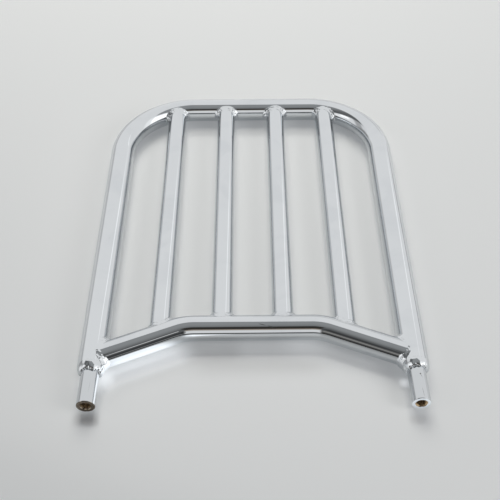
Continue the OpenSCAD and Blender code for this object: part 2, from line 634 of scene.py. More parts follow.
@dataclass
class ThreadedStub:
    """A turned plug with a shank, a shoulder, a bevelled nose and a threaded hole."""

    side: Side
    # How far the stub gets the dull face, which is darkened as painted shade.
    shaded_dullness: float = 0.0
    sides: int = 72
    bevel: float = 0.5 * MM
    bevel_steps: int = 4
    pitch: float = 1.25 * MM
    minor_radius: float = 3.4 * MM
    major_radius: float = 4.0 * MM
    sink_radius: float = 4.4 * MM
    thread_depth: float = 26 * MM
    ring_step: float = 0.125 * MM
    drill_point: float = math.radians(118)
    crest_half: float = 0.08 * MM
    flank_angle: float = math.radians(30)
    run_out: float = 1.5
    face_ring: float = 0.15 * MM
    side_ring: float = 0.1 * MM
    plating_ends: float = 0.8
    plating_fade: float = 0.3 * MM

    def outline(self) -> list[tuple[float, float]]:
        """The turned outline, from the bottom of the hole round to the shank's inner end.

        Returns:
            Pairs of depth from the outer face and radius.
        """
        tip = self.minor_radius / math.tan(self.drill_point / 2)
        points = [(self.thread_depth + tip, 0.0)]
        rings = round(self.thread_depth / self.ring_step)
        for k in range(rings, -1, -1):
            depth = k * self.ring_step
            points.append((depth, max(self.minor_radius, self.sink_radius - depth)))
        points.append((0.0, SIZES.stub_radius - self.bevel - self.face_ring))
        for k in range(self.bevel_steps + 1):
            turn = math.pi / 2 * k / self.bevel_steps
            points.append((
                self.bevel * (1 - math.cos(turn)),
                SIZES.stub_radius - self.bevel * (1 - math.sin(turn)),
            ))
        shank = SIZES.hoop_radius - SIZES.hoop_wall - SIZES.shank_play
        shank_end = SIZES.stub_length + SIZES.shank_length
        return points + [
            (self.bevel + self.side_ring, SIZES.stub_radius),
            (SIZES.stub_length, SIZES.stub_radius),
            (SIZES.stub_length, shank),
            (shank_end, shank),
            (shank_end, 0.0),
        ]

    def groove(self, depth: float, turn: float) -> float:
        """Radius of the threaded wall.

        Args:
            depth: Distance from the outer face.
            turn: Angle round the hole, in radians.

        Returns:
            The wall's radius there.
        """
        phase = (depth / self.pitch - turn / (2 * math.pi)) % 1.0
        away = abs(phase - 0.5) * self.pitch
        height = self.major_radius - self.minor_radius
        rise = clamp((away - self.crest_half) / (height * math.tan(self.flank_angle)))
        fade = clamp((self.thread_depth - depth) / (self.run_out * self.pitch))
        return self.major_radius - height * max(rise, 1 - fade)

    def build(self, material: Material) -> Object:
        """Turns the stub and cuts its thread.

        Its vertices hold how bare they are, where the dull face with painted shade lies, and how
        far out they lie.

        Args:
            material: The plating, which fades out inside the hole.

        Returns:
            The stub's object.
        """
        piece = Piece(f"stub_{self.side.word}_turned", CHROME_SLOT)
        mesh = piece.mesh
        bare = mesh.verts.layers.float.new("bare")
        dull = mesh.verts.layers.float.new("dull")
        reach = mesh.verts.layers.float.new("reach")
        axis_x = self.side.value * SIZES.leg_x
        verts = [
            mesh.verts.new((axis_x + radius, SIZES.stub_end_y + depth, SIZES.mid_z))
            for depth, radius in self.outline()
        ]
        edges = [mesh.edges.new(pair) for pair in zip(verts, verts[1:])]
        centre = Vector((axis_x, SIZES.stub_end_y, SIZES.mid_z))
        bmesh.ops.spin(
            mesh,
            geom=verts + edges,
            cent=centre,
            axis=(0, 1, 0),
            angle=2 * math.pi,
            steps=self.sides,
            use_merge=True,
        )
        bmesh.ops.remove_doubles(mesh, verts=mesh.verts, dist=0.001 * MM)
        for vert in mesh.verts:
            offset = vert.co - centre
            radius = math.hypot(offset.x, offset.z)
            depth = offset.y
            vert[reach] = radius / SIZES.stub_radius
            # The nose's front takes the dull face, darkened as painted shade.
            vert[dull] = self.shaded_dullness if depth < 0.7 * self.bevel else 0.0
            if not 0 < depth <= self.thread_depth or not 0 < radius <= self.sink_radius:
                continue
            wall = self.groove(depth, math.atan2(offset.z, offset.x))
            wall = max(wall, self.sink_radius - depth)
            vert.co.x = centre.x + offset.x / radius * wall
            vert.co.z = centre.z + offset.z / radius * wall
            sunk = self.sink_radius - self.minor_radius
            clear = sunk * self.shaded_dullness
            vert[bare] = clamp((depth - self.plating_ends * clear) / self.plating_fade)
            vert[dull] = self.shaded_dullness if depth < sunk else 0.0
        return piece.finish(material, (f"stub_{self.side.word}",), math.radians(30))


def rib(ripples: float, turn: float, share: float, sweep: float, shift: float = 0.0) -> float:
    """Height of the ripples that a weld leaves as it goes round, swept back at both edges.

    Args:
        ripples: How many there are round the weld.
        turn: Angle round the weld, in radians.
        share: Place across the weld, from 0 to 1.
        sweep: How far the ripples lag at the edges, in ripples.
        shift: A further lag, in ripples.

    Returns:
        The height, as a share of the ripple's size.
    """
    scallop = ripples * turn / (2 * math.pi) + sweep * (2 * share - 1) ** 2
    return abs(math.sin(math.pi * (scallop + shift))) - 0.6


def lumps(spot: Vector, finer: float) -> float:
    """Height of a weld's lumps.

    Args:
        spot: A point, measured in lumps.
        finer: How many times finer the small lumps on the large ones are.

    Returns:
        The height, as a share of the lump's size.
    """
    return noise.noise(spot) * 0.9 + noise.noise(spot * finer) * 0.25


class Bead:
    """A lumpy weld bead, made as a closed ring of slices."""

    node: str
    kind: ClassVar[str]
    inside: ClassVar[int] = 3
    around: int
    across: int

    def section(self, turn: float) -> list[Vector]:
        """One slice: across + 1 points of the skin, then the points inside the tubes."""
        raise NotImplementedError

    def build(self, material: Material) -> Object:
        """Makes the bead.

        Args:
            material: The plating over the weld.

        Returns:
            The bead's object.
        """
        piece = Piece(f"{self.node}_{self.kind}", BEAD_SLOT)
        count = self.across + 1 + self.inside
        spin_sections(piece.mesh, count, self.around, self.section)
        return piece.finish(material, (self.node,), math.radians(75))


@dataclass
class WeldBead(Bead):
    """A bead in the corner between a branch tube and the tube that it is cut to."""

    node: str
    line: CentreLine
    main_radius: float
    root: Vector
    heading: Vector
    branch_radius: float
    reach: float
    crown: float
    seed: float
    ripple: float = 0.12 * MM
    ripples: int = 26
    lump: float = 0.35 * MM
    lump_size: float = 2.9 * MM
    around: int = 144
    across: int = 14
    sink: float = 0.35 * MM
    kind: ClassVar[str] = "bead"
    ring_reach: ClassVar[float] = 1.6
    wander: ClassVar[tuple[float, float]] = (0.22, -0.20)
    wander_fine: ClassVar[float] = 0.16
    sweep: ClassVar[float] = 1.1
    shift: ClassVar[float] = 0.5
    edge_fade: ClassVar[float] = 0.7

    def section(self, turn: float) -> list[Vector]:
        """One slice through the bead, as a closed loop of points.

        Args:
            turn: Angle round the branch, in radians.

        Returns:
            The loop's points: the skin from the main tube to the branch, then the root.
        """
        side = self.heading.cross(UP).normalized()
        out = side * math.cos(turn) + UP * math.sin(turn)
        corner = self.line.slide_to(
            self.root + out * self.branch_radius, self.heading, self.main_radius
        )
        around = Vector((math.cos(turn), math.sin(turn), 0)) * self.ring_reach
        slow = noise.noise(around + UP * self.seed)
        fine = noise.noise(around * 2.6 + UP * (self.seed + 7)) * self.wander_fine
        main_reach, branch_reach = (
            self.reach * (1 + share * slow + fine) for share in self.wander
        )
        foot = self.line.drop_to(corner + out * main_reach, self.main_radius)
        toe = corner + self.heading * branch_reach
        middle = (foot + toe) / 2
        bulge = corner.lerp(middle, self.crown)
        normal = (self.line.outward(corner) + out).normalized()
        shift = self.shift * noise.noise(around * 3 + UP * (self.seed + 3))
        points = []
        for k in range(self.across + 1):
            share = k / self.across
            base = foot.lerp(bulge, share).lerp(bulge.lerp(toe, share), share)
            fade = math.sin(math.pi * share) ** self.edge_fade
            ripple = self.ripple * rib(self.ripples, turn, share, self.sweep, shift)
            lump = lumps(base / self.lump_size + Vector((self.seed, 0, 0)), 2.1)
            points.append(base + normal * fade * (ripple + self.lump * lump))
        points.append(toe - out * self.sink)
        points.append(corner - out * self.sink - self.heading * self.sink)
        points.append(foot - self.line.outward(foot) * self.sink)
        for point in points:
            point.z = clamp(point.z, BOX_GAP, 2 * SIZES.mid_z - BOX_GAP)
        return points


@dataclass
class RingWeld(Bead):
    """The lumpy ring between a leg's cut end and its stub."""

    side: Side
    length: float = 6.5 * MM
    foot_in: float = 0.03 * MM
    ripple: float = 0.07 * MM
    ripples: int = 30
    lump: float = 0.26 * MM
    lump_size: float = 3.4 * MM
    around: int = 160
    across: int = 18
    sink: float = 0.3 * MM
    kind: ClassVar[str] = "ring"
    ring_reach: ClassVar[float] = 1.7
    wander: ClassVar[tuple[float, float]] = (0.16, 0.12)
    sweep: ClassVar[float] = 1.2
    edge_fade: ClassVar[float] = 0.6
    roundness: ClassVar[float] = 0.9

    @property
    def node(self) -> str:
        """The CAD node that the ring stands for."""
        return f"weld_stub_{self.side.word}"

    def section(self, turn: float) -> list[Vector]:
        """One slice through the ring, as a closed loop of points.

        Args:
            turn: Angle round the leg, in radians.

        Returns:
            The loop's points: the skin from the leg to the stub, then the root.
        """
        centre = Vector((self.side.value * SIZES.leg_x, SIZES.leg_end_y, SIZES.mid_z))
        out = Vector((math.cos(turn), 0, math.sin(turn)))
        around = out * self.ring_reach + REARWARD * (11.0 * self.side.value)
        slow, fine = noise.noise(around), noise.noise(around * 2.7)
        length = self.length * (1 + self.wander[0] * slow + self.wander[1] * fine)
        foot_radius = SIZES.hoop_radius - self.foot_in
        rise = foot_radius - SIZES.stub_radius
        points = []
        for k in range(self.across + 1):
            share = k / self.across
            angle = math.pi / 2 * share
            radius = SIZES.stub_radius + rise * math.cos(angle) ** self.roundness
            base = centre + out * radius - REARWARD * length * math.sin(angle)
            fade = math.sin(math.pi * share) ** self.edge_fade
            ripple = self.ripple * rib(self.ripples, turn, share, self.sweep)
            lump = self.lump * lumps(base / self.lump_size, 2.2)
            points.append(base + (out * 0.8 - REARWARD * 0.6) * fade * (ripple + lump))
        points.append(centre + out * (SIZES.stub_radius - self.sink) - REARWARD * length)
        points.append(centre + out * (SIZES.stub_radius - self.sink))
        points.append(centre + out * foot_radius)
        edge = SIZES.width / 2 - BOX_GAP
        for point in points:
            point.z = clamp(point.z, BOX_GAP, 2 * SIZES.mid_z - BOX_GAP)
            point.x = clamp(point.x, -edge, edge)
        return points


def slat_bead(number: int, place: BeadPlace) -> WeldBead:
    """Sets out the bead at one end of a slat.

    Args:
        number: The slat's number.
        place: Which end.

    Returns:
        The bead, ready to build.
    """
    across = SIZES.slat_x(number)
    if place is BeadPlace.REAR:
        line, radius, near, heading = HOOP_LINE, SIZES.hoop_radius, SIZES.rear_y, -1
        reach, crown, lump, lump_size = 3.3 * MM, 0.75, 0.48 * MM, 1.7 * MM
    else:
        line, radius, near, heading = CROSS_LINE, SIZES.cross_radius, SIZES.cross_y, 1
        reach, crown, lump, lump_size = 2.7 * MM, 0.8, 0.34 * MM, 1.5 * MM
    return WeldBead(
        node=f"weld_slat_{number}_{place.value}",
        line=line,
        main_radius=radius,
        root=Slat.root(line, across, near),
        heading=Vector((0, heading, 0)),
        branch_radius=SIZES.slat_radius,
        reach=reach,
        crown=crown,
        seed=number * 3.7 + (0 if place is BeadPlace.REAR else 40),
        lump=lump,
        lump_size=lump_size,
    )


def crossbar_bead(side: Side) -> WeldBead:
    """Sets out the bead where the crossbar meets a leg.

    Args:
        side: Which leg.

    Returns:
        The bead, ready to build.
    """
    inward = -side.value * math.cos(SIZES.cross_angle)
    return WeldBead(
        node=f"weld_crossbar_{side.word}",
        line=LEG_LINE,
        main_radius=SIZES.hoop_radius,
        root=Vector((side.value * SIZES.leg_x, SIZES.cross_end_y, SIZES.mid_z)),
        heading=Vector((inward, math.sin(SIZES.cross_angle), 0)),
        branch_radius=SIZES.cross_radius,
        reach=3.6 * MM,
        crown=0.8,
        seed=80 + side.value,
        lump=0.5 * MM,
        ripples=30,
    )


# What a node's inputs get, by their names or numbers: a socket, a number or a tuple.
Inputs = dict[str | int, object]
# A node's outputs, by their names.
Sockets = dict[str, NodeSocket]


class Graph:
    """A short hand for adding and joining shader nodes."""

    def __init__(self, tree: NodeTree) -> None:
        """Works on one node tree.

        Args:
            tree: The tree to add to.
        """
        self.tree = tree

    def feed(self, target: NodeSocket, value: object) -> None:
        """Joins a socket to a target, or sets the target's own value.

        Args:
            target: The socket to feed.
            value: Another socket, a number or a tuple. A colour is solid.
        """
        if isinstance(value, NodeSocket):
            self.tree.links.new(value, target)
        elif target.type == "RGBA":
            target.default_value = (*value, 1.0)
        else:
            target.default_value = value

    def fill(self, node: Node, values: Inputs) -> None:
        """Feeds a node's inputs."""
        for key, value in values.items():
            self.feed(node.inputs[key], value)

    def node(self, kind: str, values: Inputs | None = None, **settings: object) -> Node:
        """Adds a node.

        Args:
            kind: The node's type.
            values: What its inputs get.
            **settings: Properties to set on it, before the inputs.

        Returns:
            The node.
        """
        made = self.tree.nodes.new(kind)
        for key, value in settings.items():
            setattr(made, key, value)
        self.fill(made, values or {})
        return made

    def here(self) -> NodeSocket:
        """The surface's own place, in metres."""
        return self.node("ShaderNodeTexCoord").outputs["Object"]

    def attribute(self, name: str) -> NodeSocket:
        """A value that the mesh holds at its vertices."""
        return self.node("ShaderNodeAttribute", attribute_name=name).outputs["Fac"]

    def parts(self, vector: NodeSocket) -> Sockets:
        """The sockets of a vector's X, Y and Z."""
        split = self.node("ShaderNodeSeparateXYZ", {0: vector})
        return {socket.name: socket for socket in split.outputs}

    def maths(self, operation: str, *values: object) -> NodeSocket:
        """Works out one operation on sockets or numbers."""
        return self.node("ShaderNodeMath", dict(enumerate(values)), operation=operation).outputs[0]

    def steps(
        self, value: object, low: object, high: object, out_low: object = 0.0,
        out_high: object = 1.0,
    ) -> NodeSocket:
        """Maps a value smoothly from one range to another.

        Args:
            value: The socket or number to map.
            low: Where the change starts.
            high: Where it ends.
            out_low: The result at and below the start.
            out_high: The result at and past the end.

        Returns:
            The mapped value.
        """
        values: Inputs = dict(enumerate((value, low, high, out_low, out_high)))
        return self.node(
            "ShaderNodeMapRange", values, interpolation_type="SMOOTHSTEP"
        ).outputs[0]

    def noise(
        self, place: object, scale: object, detail: float = 2.0, distortion: float = 0.0
    ) -> NodeSocket:
        """Adds a noise texture.

        Args:
            place: The socket with the point.
            scale: Waves in a metre.
            detail: How many finer layers it has.
            distortion: How far it is warped.

        Returns:
            Its value, about 0.5 on average.
        """
        values: Inputs = {
            "Vector": place, "Scale": scale, "Detail": detail, "Distortion": distortion,
        }
        return self.node("ShaderNodeTexNoise", values).outputs["Fac"]

    def blend(self, share: object, first: object, second: object) -> NodeSocket:
        """Mixes two colours, and takes the given share of the second one."""
        values: Inputs = {"Factor": share, 6: first, 7: second}
        return self.node("ShaderNodeMix", values, data_type="RGBA").outputs[2]

    def effect(self, group: NodeTree, values: Inputs | None = None) -> NodeSocket:
        """Lays an effect on the surface.

        Args:
            group: The effect's node group.
            values: What its inputs get. Its place is the surface's own.

        Returns:
            The mask or height that it puts out.
        """
        filled: Inputs = {"Place": self.here(), **(values or {})}
        return self.node("ShaderNodeGroup", filled, node_tree=group).outputs[0]


class Group(Graph):
    """A graph in a node group of its own, with one output."""

    def __init__(self, name: str, output: str, inputs: dict[str, float | None]) -> None:
        """Starts the group.

        Args:
            name: The group's name.
            output: What it puts out, as a number.
            inputs: For each input, its default number, or None for a vector.
        """
        tree = bpy.data.node_groups.new(name, "ShaderNodeTree")
        super().__init__(tree)
        for label, value in inputs.items():
            kind = "NodeSocketVector" if value is None else "NodeSocketFloat"
            socket = tree.interface.new_socket(name=label, in_out="INPUT", socket_type=kind)
            if value is not None:
                socket.default_value = value
        tree.interface.new_socket(name=output, in_out="OUTPUT", socket_type="NodeSocketFloat")
        self.given: Sockets = {
            socket.name: socket for socket in self.node("NodeGroupInput").outputs
        }

    def closed(self, value: NodeSocket) -> NodeTree:
        """Puts out a value, and hands over the group's tree."""
        self.node("NodeGroupOutput", {0: value})
        return self.tree


class Effects:
    """The effects that more than one finish uses, each a node group that is built once."""

    def __init__(self) -> None:
        """Builds the groups."""
        self.waves = self.plating_waves()
        self.scratches = self.fine_scratches()
        self.haze = self.handling_haze()
        self.specks = self.plating_specks()
        self.spot = self.marked_spot()

    @staticmethod
    def plating_waves() -> NodeTree:
        """The slow waves that polishing leaves under the plating.

        Returns:
            The group. Its height is 0 to 1.
        """
        graph = Group("plating_waves", "Height", {"Place": None, "Waves": 60.0, "Fine share": 0.2})
        given = graph.given
        slow = graph.noise(given["Place"], given["Waves"], 0.0)
        quick = graph.maths("MULTIPLY", given["Waves"], 5.5)
        fine = graph.noise(given["Place"], quick, 1.0)
        fine = graph.maths("MULTIPLY", fine, given["Fine share"])
        return graph.closed(graph.maths("ADD", slow, fine))

    @staticmethod
    def fine_scratches() -> NodeTree:
        """Hair-thin scratches in loose, short strokes.

        Returns:
            The group. Its mask is 1 on a scratch.
        """
        graph = Group(
            "fine_scratches", "Mask",
            {"Place": None, "Spread": 70.0, "Width": 0.004, "Amount": 0.5},
        )
        given = graph.given
        masks = []
        for k, (stretch, turn) in enumerate((((1.0, 0.16, 1.0), 0.5), ((0.2, 1.0, 0.7), -0.4))):
            strokes = graph.node("ShaderNodeMapping", {
                "Vector": given["Place"],
                "Location": (0.31 * k, 0.17, 0.05 * k),
                "Rotation": (turn * 0.6, 0.3 * turn, turn),
                "Scale": stretch,
            }).outputs[0]
            off = graph.noise(strokes, given["Spread"], 0.5, 0.6)
            off = graph.maths("ABSOLUTE", graph.maths("SUBTRACT", off, 0.5))
            line = graph.steps(off, 0.0, given["Width"], 1.0, 0.0)
            shown = graph.steps(graph.noise(strokes, 190.0 + 60 * k, 1.0), 0.62, 0.7)
            masks.append(graph.maths("MULTIPLY", line, shown))
        both = graph.maths("MAXIMUM", *masks)
        return graph.closed(graph.maths("MULTIPLY", both, given["Amount"]))

    @staticmethod
    def handling_haze() -> NodeTree:
        """Faint smears that make the shine uneven.

        Returns:
            The group. Its mask is 0 to 1.
        """
        graph = Group("handling_haze", "Mask", {"Place": None, "Smears": 28.0})
        slow = graph.noise(graph.given["Place"], graph.given["Smears"], 3.0, 0.8)
        return graph.closed(graph.steps(slow, 0.45, 0.72))

    @staticmethod
    def plating_specks() -> NodeTree:
        """Pinholes and dust specks, here and there.

        Returns:
            The group. Its mask is 1 in a speck.
        """
        graph = Group(
            "plating_specks", "Mask", {"Place": None, "Grid": 160.0, "Size": 0.05, "Share": 0.1}
        )
        given = graph.given
        cells = graph.node(
            "ShaderNodeTexVoronoi", {"Vector": given["Place"], "Scale": given["Grid"]}
        )
        dot = graph.steps(cells.outputs["Distance"], 0.0, given["Size"], 1.0, 0.0)
        pick = graph.node("ShaderNodeSeparateColor", {0: cells.outputs["Color"]})
        chosen = graph.maths("LESS_THAN", pick.outputs[0], given["Share"])
        return graph.closed(graph.maths("MULTIPLY", dot, chosen))

    @staticmethod
    def marked_spot() -> NodeTree:
        """One ragged ellipsoid, for a single dent whose darkening is a painted reflection.

        Returns:
            The group. Its mask is 1 inside the blemish.
        """
        graph = Group(
            "marked_spot", "Mask",
            {"Place": None, "Centre": None, "Turn": None, "Half size": None, "Strength": 1.0},
        )
        given = graph.given
        within = graph.node(
            "ShaderNodeMapping",
            {"Vector": given["Place"], "Location": given["Centre"],
             "Rotation": given["Turn"], "Scale": given["Half size"]},
            vector_type="TEXTURE",
        )
        away = graph.node("ShaderNodeVectorMath", {0: within.outputs[0]}, operation="LENGTH")
        ragged = graph.maths("SUBTRACT", graph.noise(given["Place"], 1800.0, 2.0), 0.5)
        edge = graph.maths("ADD", away.outputs["Value"], ragged)
        mask = graph.steps(edge, 0.7, 1.0, 1.0, 0.0)
        return graph.closed(graph.maths("MULTIPLY", mask, given["Strength"]))


def new_material(name: str) -> tuple[Material, Graph]:
    """Starts a material.

    Args:
        name: The material's name.

    Returns:
        The material and a graph on its nodes.
    """
    material = bpy.data.materials.new(name)
    material.use_nodes = True
    return material, Graph(material.node_tree)


Colour = tuple[float, float, float]


@dataclass(frozen=True)
class Mark:
    """A slight dent whose darkening is a painted reflection: an ellipsoid that darkens and dents
    what it holds.

    Its place and half sizes are in metres, and its turn about the upright is in degrees.
    """

    place: tuple[float, float, float]
    half: tuple[float, float, float]
    turn: float = 0.0
    strength: float = 1.0


@dataclass(frozen=True)
class ChromeFinish:
    """Bright chrome plating. Heights are in metres."""

    name: str
    tint: Colour = (0.645, 0.667, 0.686)
    hazed_tint: Colour = (0.615, 0.638, 0.660)
    speck_tint: Colour = (0.05, 0.05, 0.055)
    clean: float = 0.015
    hazed: float = 0.05
    waves: float = 60.0
    wave_height: float = 0.012 * MM
    scratch_amount: float = 0.35
    scratch_depth: float = 0.0015 * MM
    speck_grid: float = 150.0
    speck_size: float = 0.035
    speck_share: float = 0.05
    marks: tuple[Mark, ...] = ()
    # The colour inside the marks: a painted dark reflection.
    painted_reflection_tint: Colour = (0.16, 0.155, 0.15)
    mark_depth: float = 0.02 * MM
    scuffed: float = 0.12

    def make(self, effects: Effects) -> Material:
        """Builds the material.

        Args:
            effects: The shared effects.

        Returns:
            The material.
        """
        material, graph = new_material(self.name)
        shader = material.node_tree.nodes["Principled BSDF"]
        waves = graph.effect(effects.waves, {"Waves": self.waves})
        scratches = graph.effect(effects.scratches, {"Amount": self.scratch_amount})
        haze = graph.effect(effects.haze)
        specks = graph.effect(
            effects.specks,
            {"Grid": self.speck_grid, "Size": self.speck_size, "Share": self.speck_share},
        )
        tint = graph.blend(haze, self.tint, self.hazed_tint)
        tint = graph.blend(specks, tint, self.speck_tint)
        dents_and_painted_reflections: object = 0.0
        for mark in self.marks:
            spot = graph.effect(effects.spot, {
                "Centre": mark.place,
                "Turn": (0.0, 0.0, math.radians(mark.turn)),
                "Half size": mark.half,
                "Strength": mark.strength,
            })
            dents_and_painted_reflections = graph.maths("MAXIMUM", dents_and_painted_reflections, spot)
        # Painted reflection: the marks darken the plating's colour.
        if self.marks:
            tint = graph.blend(dents_and_painted_reflections, tint, self.painted_reflection_tint)
        rough = graph.steps(haze, 0.0, 1.0, self.clean, self.hazed)
        scuffed = graph.maths("MULTIPLY", scratches, self.scuffed)
        normal = self.bump(graph, waves, self.wave_height)
        normal = self.bump(graph, scratches, self.scratch_depth, normal)
        if self.marks:
            normal = self.bump(graph, dents_and_painted_reflections, self.mark_depth, normal)
        graph.fill(shader, {
            "Metallic": 1.0,
            "Base Color": self.colour(graph, tint),
            "Roughness": self.shine(graph, graph.maths("ADD", rough, scuffed)),
            "Normal": normal,
        })
        return material

    @staticmethod
    def bump(
        graph: Graph,
        height: NodeSocket,
        distance: float,
        under: NodeSocket | None = None,
    ) -> NodeSocket:
        """Raises the surface, or cuts into the relief that is there already.

        Args:
            graph: The material's graph.
            height: How high or deep, from 0 to 1.
            distance: The full height or depth, in metres.
            under: The normal of the relief to cut into.

        Returns:
            The new normal.
        """
        values: Inputs = {"Distance": distance, "Height": height}
        if under is not None:
            values["Normal"] = under
        return graph.node("ShaderNodeBump", values, invert=under is not None).outputs["Normal"]

    def colour(self, graph: Graph, tint: NodeSocket) -> NodeSocket:
        """The shader's colour, which is the plating's own."""
        return tint

    def shine(self, graph: Graph, rough: NodeSocket) -> NodeSocket:
        """The shader's roughness, which is the plating's own."""
        return rough


@dataclass(frozen=True)
class StubFinish(ChromeFinish):
    """Chrome that fades out inside the threaded hole, where the steel is bare and yellowed; its
    dull face is painted shade.
    """

    bare: Colour = (0.52, 0.385, 0.225)
    stained: Colour = (0.14, 0.085, 0.05)
    bare_rough: float = 0.34
    # The dull face's ring colours: turning rings, darkened as painted shade.
    dull: Colour = (0.42, 0.345, 0.27)
    dull_dark: Colour = (0.10, 0.088, 0.07)
    dull_rough: float = 0.2
    ring_step: float = 0.14
    ring_start: float = 0.85
    ring_waver: float = 0.09
    rim_waver: float = 0.6

    def mask(self, graph: Graph) -> NodeSocket:
        """Reads how bare the surface is, broken up a little at its rim.

        Args:
            graph: The material's graph.

        Returns:
            The mask, 1 where no chrome has reached.
        """
        ragged = graph.maths("SUBTRACT", graph.noise(graph.here(), 1400.0, 2.0), 0.5)
        ragged = graph.maths("MULTIPLY", ragged, self.rim_waver)
        return graph.steps(graph.maths("ADD", graph.attribute("bare"), ragged), 0.35, 0.65)

    def rings(self, graph: Graph) -> NodeSocket:
        """Draws the turning marks round the face, wavering a little.

        Args:
            graph: The material's graph.

        Returns:
            The mask, 1 on the paler rings.
        """
        waver = graph.maths("SUBTRACT", graph.noise(graph.here(), 500.0, 2.0), 0.5)
        waver = graph.maths("MULTIPLY", waver, self.ring_waver)
        reach = graph.maths("ADD", graph.attribute("reach"), waver)
        off = graph.maths("SUBTRACT", reach, self.ring_start)
        wave = graph.maths("SINE", graph.maths("MULTIPLY", off, 2 * math.pi / self.ring_step))
        return graph.steps(wave, -0.5, 0.8)

    def colour(self, graph: Graph, tint: NodeSocket) -> NodeSocket:
        """Mixes the dull face, darkened as painted shade, and the bare thread into the colour.

        Args:
            graph: The material's graph.
            tint: The plating's colour.

        Returns:
            The shader's colour.
        """
        stain = graph.steps(graph.noise(graph.here(), 900.0, 3.0), 0.4, 0.66)
        steel = graph.blend(stain, self.bare, self.stained)
        # Turning rings on the dull face, darkened as painted shade.
        face = graph.blend(self.rings(graph), self.dull_dark, self.dull)
        tint = graph.blend(graph.attribute("dull"), tint, face)
        return graph.blend(self.mask(graph), tint, steel)

    def shine(self, graph: Graph, rough: NodeSocket) -> NodeSocket:
        """Mixes the dull face and the bare thread into the roughness.

        Args:
            graph: The material's graph.
            rough: The plating's roughness.

        Returns:
            The shader's roughness.
        """
        dull = graph.maths("MULTIPLY", graph.attribute("dull"), self.dull_rough)
        rough = graph.maths("MAXIMUM", rough, dull)
        values: Inputs = {"Factor": self.mask(graph), "A": rough, "B": self.bare_rough}
        return graph.node("ShaderNodeMix", values, data_type="FLOAT").outputs["Result"]


@dataclass(frozen=True)
class TentPanel:
    """A soft-edged patch of the tent round the rack, which shows in the chrome.

    Angles are in degrees: azimuth from the front, right positive, and tilt down from straight
    above. A later panel lies over the ones before it.
    """

    azimuth: float
    azimuth_half: float
    tilt: float
    tilt_half: float
    level: float
    colour: Colour = (1.0, 1.0, 1.0)
    soft_azimuth: float = 4.0
    soft_tilt: float = 3.0


TENT_PANELS = (
    # Behind, low down: they show on the sides of the slats and legs.
    TentPanel(-143, 22, 85, 6, 0.62, soft_azimuth=6, soft_tilt=3),
    TentPanel(165, 14, 77, 5, 0.66, soft_azimuth=6, soft_tilt=3),
    # On the left: they show on the left leg and on the left corner.
    TentPanel(-101, 15, 60, 36, 0.53, soft_azimuth=5, soft_tilt=6),
    TentPanel(-113, 7, 61, 8, 0.92, soft_azimuth=3, soft_tilt=4),
    TentPanel(-110, 14, 82, 8, 0.34, soft_azimuth=5, soft_tilt=4),
    # The dark front, with the white walls at both its sides.
    TentPanel(-2, 50, 60, 40, 0.13, soft_azimuth=5, soft_tilt=6),
    TentPanel(-67, 22, 64, 25, 0.97, soft_azimuth=4, soft_tilt=3),
    TentPanel(-55, 8, 68, 8, 1.2, soft_azimuth=4, soft_tilt=4),
    TentPanel(-68, 9, 58, 7, 1.6, soft_azimuth=4, soft_tilt=4),
    TentPanel(82, 10, 62, 22, 1.2, soft_azimuth=5, soft_tilt=5),
    TentPanel(61, 17, 60, 18, 1.7, soft_azimuth=3, soft_tilt=4),
    # Behind, on the right: the thin white line along each slat, and the dark one beside it.
    TentPanel(141, 1.8, 60, 11, 1.28, soft_azimuth=1.5, soft_tilt=5),
    TentPanel(131, 8, 90, 4, 0.40, soft_azimuth=3, soft_tilt=3),
    # In the dark front: the pale band and the thin lines on the crossbar's three parts.
    TentPanel(0, 14, 69.5, 15, 0.92, soft_azimuth=4, soft_tilt=9),
    TentPanel(0, 13, 53, 3.5, 0.42, (1.0, 0.80, 0.62), 4, 1.5),
    TentPanel(-30, 12, 65, 4, 0.34, (1.0, 0.96, 0.9), 3, 3),
    TentPanel(-30, 15, 84, 8, 0.05, (1.0, 0.96, 0.9), 3, 3),
    TentPanel(30, 12, 67, 8, 0.06, (0.95, 0.97, 1.0), 4, 4),
    TentPanel(30, 12, 83, 5, 0.30, soft_azimuth=4, soft_tilt=3),
    TentPanel(32.5, 5, 48, 2.2, 0.85, soft_azimuth=2, soft_tilt=2),
    TentPanel(12, 26, 86.5, 4.0, 0.03, soft_azimuth=4, soft_tilt=1.0),
)


@dataclass(frozen=True)
class Softbox:
    """A square lamp aimed at the rack, which lights the floor and stays out of the chrome."""

    name: str
    place: tuple[float, float, float]
    size: float
    power: float
    colour: Colour = (1.0, 1.0, 1.0)


@dataclass(frozen=True)
class PaintedFloorPool:
    """A painted pool of light in the floor's glow, for the light that the chrome throws on the
    floor, or painted shade where it keeps light off.

    Its place and sizes are in metres, and its turn is in degrees. A level below 0 is painted shade.
    """

    place: tuple[float, float]
    half: tuple[float, float]
    soft: tuple[float, float]
    turn: float
    level: float
    # A pool that glows only for rays off the chrome is a painted reflection.
    painted_reflection: bool = False


